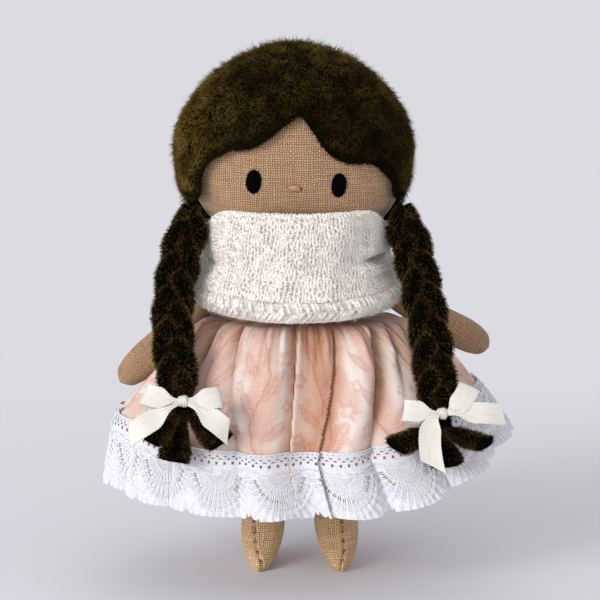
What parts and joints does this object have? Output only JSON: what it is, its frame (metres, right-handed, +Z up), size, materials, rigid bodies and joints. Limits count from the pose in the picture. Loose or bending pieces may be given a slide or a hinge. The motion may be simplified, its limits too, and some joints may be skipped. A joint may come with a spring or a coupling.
{
  "type": "rag doll",
  "caption": "Small linen rag doll with a felted wool hair cap, plaits tied with ribbon bows, a knitted cowl and a gathered skirt trimmed with lace.",
  "frame": {"origin": "bottom centre of the whole doll's box, on the surface it stands on", "axes": "+Z up, the doll faces -Y, +X to the doll's left hand (the right side of the picture)"},
  "size_m": [0.1206, 0.0784, 0.1528],
  "materials": {
    "linen": "natural unbleached linen, open plain weave with slubs, matte",
    "wool_hair": "felted brown-black wool with loose crimped fibres, matte",
    "eye_thread": "black embroidery floss in satin stitch",
    "nose_thread": "tan embroidery floss",
    "knit": "off-white fine knit with eyelet columns, matte and soft",
    "printed_cotton": "fine cotton with a small coral and cream print, gathered",
    "cotton_lace": "white crocheted cotton lace, matte",
    "satin_ribbon": "ivory satin ribbon with a soft sheen"
  },
  "bodies": {
    "dressed_body": {"head": "linen", "eye_left": "eye_thread", "eye_right": "eye_thread", "nose_stitch": "nose_thread", "hair_front": "wool_hair", "hair_back": "wool_hair", "torso": "linen", "cowl": "knit", "cowl_hem": "knit", "waistband": "printed_cotton", "skirt": "printed_cotton", "lace_trim": "cotton_lace"},
    "left_arm": {"arm_left": "linen"},
    "right_arm": {"arm_right": "linen"},
    "left_leg": {"leg_left": "linen"},
    "right_leg": {"leg_right": "linen"},
    "left_braid": {"braid_left_strand_a": "wool_hair", "braid_left_strand_b": "wool_hair", "braid_left_strand_c": "wool_hair", "braid_left_tie": "eye_thread", "bow_left": "satin_ribbon", "bow_left_knot": "satin_ribbon"},
    "right_braid": {"braid_right_strand_a": "wool_hair", "braid_right_strand_b": "wool_hair", "braid_right_strand_c": "wool_hair", "braid_right_tie": "eye_thread", "bow_right": "satin_ribbon", "bow_right_knot": "satin_ribbon"}
  },
  "joints": [
    {"name": "left_shoulder", "type": "hinge", "parent": "dressed_body", "child": "left_arm", "pos_m": [-0.02378, 0.00968, 0.0828], "axis": [0, 1, 0], "range_deg": [0, 45]},
    {"name": "right_shoulder", "type": "hinge", "parent": "dressed_body", "child": "right_arm", "pos_m": [0.01742, 0.00968, 0.0828], "axis": [0, -1, 0], "range_deg": [-8, 30]},
    {"name": "left_hip", "type": "hinge", "parent": "dressed_body", "child": "left_leg", "pos_m": [-0.01308, 0.00968, 0.04], "axis": [-1, 0, 0], "range_deg": [-30, 40]},
    {"name": "right_hip", "type": "hinge", "parent": "dressed_body", "child": "right_leg", "pos_m": [0.00832, 0.00968, 0.04], "axis": [-1, 0, 0], "range_deg": [-30, 40]},
    {"name": "left_braid_root", "type": "hinge", "parent": "dressed_body", "child": "left_braid", "pos_m": [-0.03128, 0.00118, 0.1057], "axis": [-1, 0, 0], "range_deg": [0, 70]},
    {"name": "right_braid_root", "type": "hinge", "parent": "dressed_body", "child": "right_braid", "pos_m": [0.02512, 0.00118, 0.106], "axis": [-1, 0, 0], "range_deg": [0, 70]}
  ]
}
